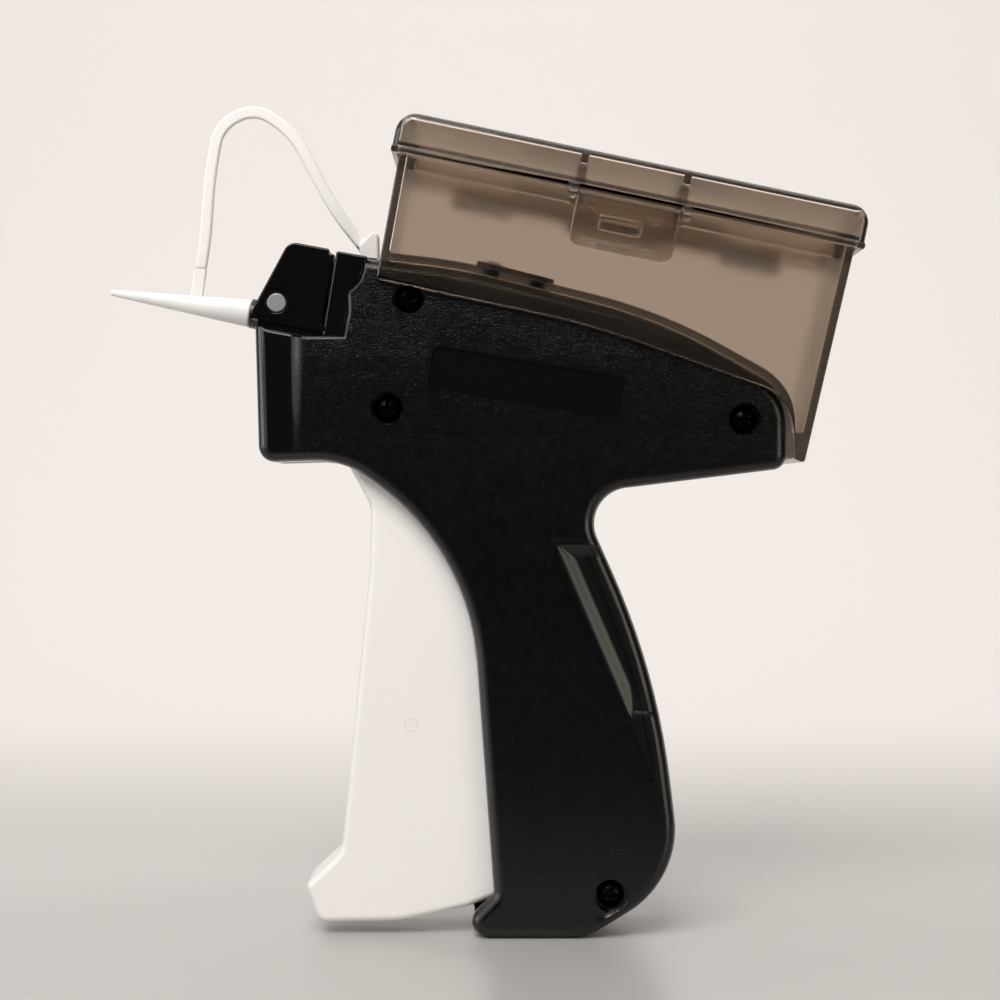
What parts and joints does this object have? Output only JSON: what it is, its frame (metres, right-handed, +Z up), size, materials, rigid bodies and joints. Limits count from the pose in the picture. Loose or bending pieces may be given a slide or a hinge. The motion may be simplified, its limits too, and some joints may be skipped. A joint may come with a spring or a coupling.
{
  "type": "garment tag attacher",
  "caption": "Pistol-grip garment tag attacher with a smoked flip-lid hopper, a white squeeze trigger and a capped needle on a tether.",
  "frame": {"origin": "centre of the grip's flat base", "axes": "+Z up out of the base, -X to where the needle points, -Y to the side with the screw heads"},
  "size_m": [0.1488, 0.0381, 0.1639],
  "materials": {
    "black_abs": "fine spark texture",
    "black_gloss": "gloss",
    "white_plastic": "satin",
    "white_acetal": "satin",
    "smoked_plastic": "clear, smoked brown",
    "steel": "ground",
    "screw_steel": "blackened"
  },
  "bodies": {
    "frame": {"left_shell": "black_abs", "right_shell": "black_abs", "nose_gate": "black_gloss", "gate_seat": "black_gloss", "feed_block": "black_gloss", "knife_blade": "steel", "needle_base": "black_gloss", "needle": "steel", "lock_spring": "steel", "cap_tether": "white_plastic", "index_pin": "steel", "lever_pivot_pin": "steel", "return_spring": "steel", "housing_screws": "screw_steel", "hopper_box": "smoked_plastic", "clamp_plate": "smoked_plastic", "clamp_screws": "screw_steel", "lid_hinge_pin": "steel"},
    "trigger_body": {"trigger": "white_plastic", "drive_pin": "steel"},
    "lever_body": {"drive_lever": "white_acetal"},
    "slide_body": {"ram_slide": "white_acetal", "slide_pin": "steel", "ejector_rod": "steel"},
    "feed_body": {"feed_wheel": "white_acetal", "feed_shaft": "steel", "ratchet_wheel": "white_acetal"},
    "index_body": {"index_lever": "white_acetal"},
    "lock_body": {"needle_lock_pin": "steel"},
    "cap_body": {"needle_cap": "white_plastic"},
    "lid_body": {"hopper_lid": "smoked_plastic"},
    "latch_body": {"lid_latch": "smoked_plastic"}
  },
  "joints": [
    {"name": "trigger_hinge", "type": "hinge", "parent": "frame", "child": "trigger_body", "pos_m": [-0.0304, 0, 0.103], "axis": [0, -1, 0], "range_deg": [0, 15], "stiffness_Nm_per_rad": 0.25, "deforming": ["return_spring"]},
    {"name": "lever_hinge", "type": "hinge", "parent": "frame", "child": "lever_body", "pos_m": [0.002, 0, 0.0655], "axis": [0, -1, 0], "range_deg": [0, 45.49]},
    {"name": "slide_travel", "type": "slide", "parent": "frame", "child": "slide_body", "axis": [-0.989, 0, 0.1478], "range_m": [0, 0.034]},
    {"name": "feed_turn", "type": "hinge", "parent": "frame", "child": "feed_body", "pos_m": [-0.04526, 0.0056, 0.12509], "axis": [0.989, 0, -0.1478], "continuous": true},
    {"name": "index_rock", "type": "hinge", "parent": "frame", "child": "index_body", "pos_m": [-0.03015, 0.00775, 0.1112], "axis": [0, 1, 0], "range_deg": [0, 12]},
    {"name": "lock_push", "type": "slide", "parent": "frame", "child": "lock_body", "axis": [0, 1, 0], "range_m": [0, 0.002], "stiffness_N_per_m": 400, "deforming": ["lock_spring"]},
    {"name": "cap_pull", "type": "slide", "parent": "frame", "child": "cap_body", "axis": [-0.989, 0, 0.1478], "range_m": [0, 0.03], "deforming": ["cap_tether"]},
    {"name": "lid_hinge", "type": "hinge", "parent": "frame", "child": "lid_body", "pos_m": [0.01577, 0.0184, 0.14189], "axis": [-0.979, 0, 0.204], "range_deg": [0, 110]},
    {"name": "latch_hinge", "type": "hinge", "parent": "lid_body", "child": "latch_body", "pos_m": [0.01629, -0.0168, 0.14193], "axis": [-0.979, 0, 0.204], "range_deg": [0, 25], "stiffness_Nm_per_rad": 0.002}
  ],
  "couplings": [
    {"joint": "lever_hinge", "follows": "trigger_hinge", "ratio": 3.0328},
    {"joint": "slide_travel", "follows": "trigger_hinge", "m_per_rad": 0.12985},
    {"joint": "index_rock", "follows": "trigger_hinge", "ratio": 0.799}
  ]
}
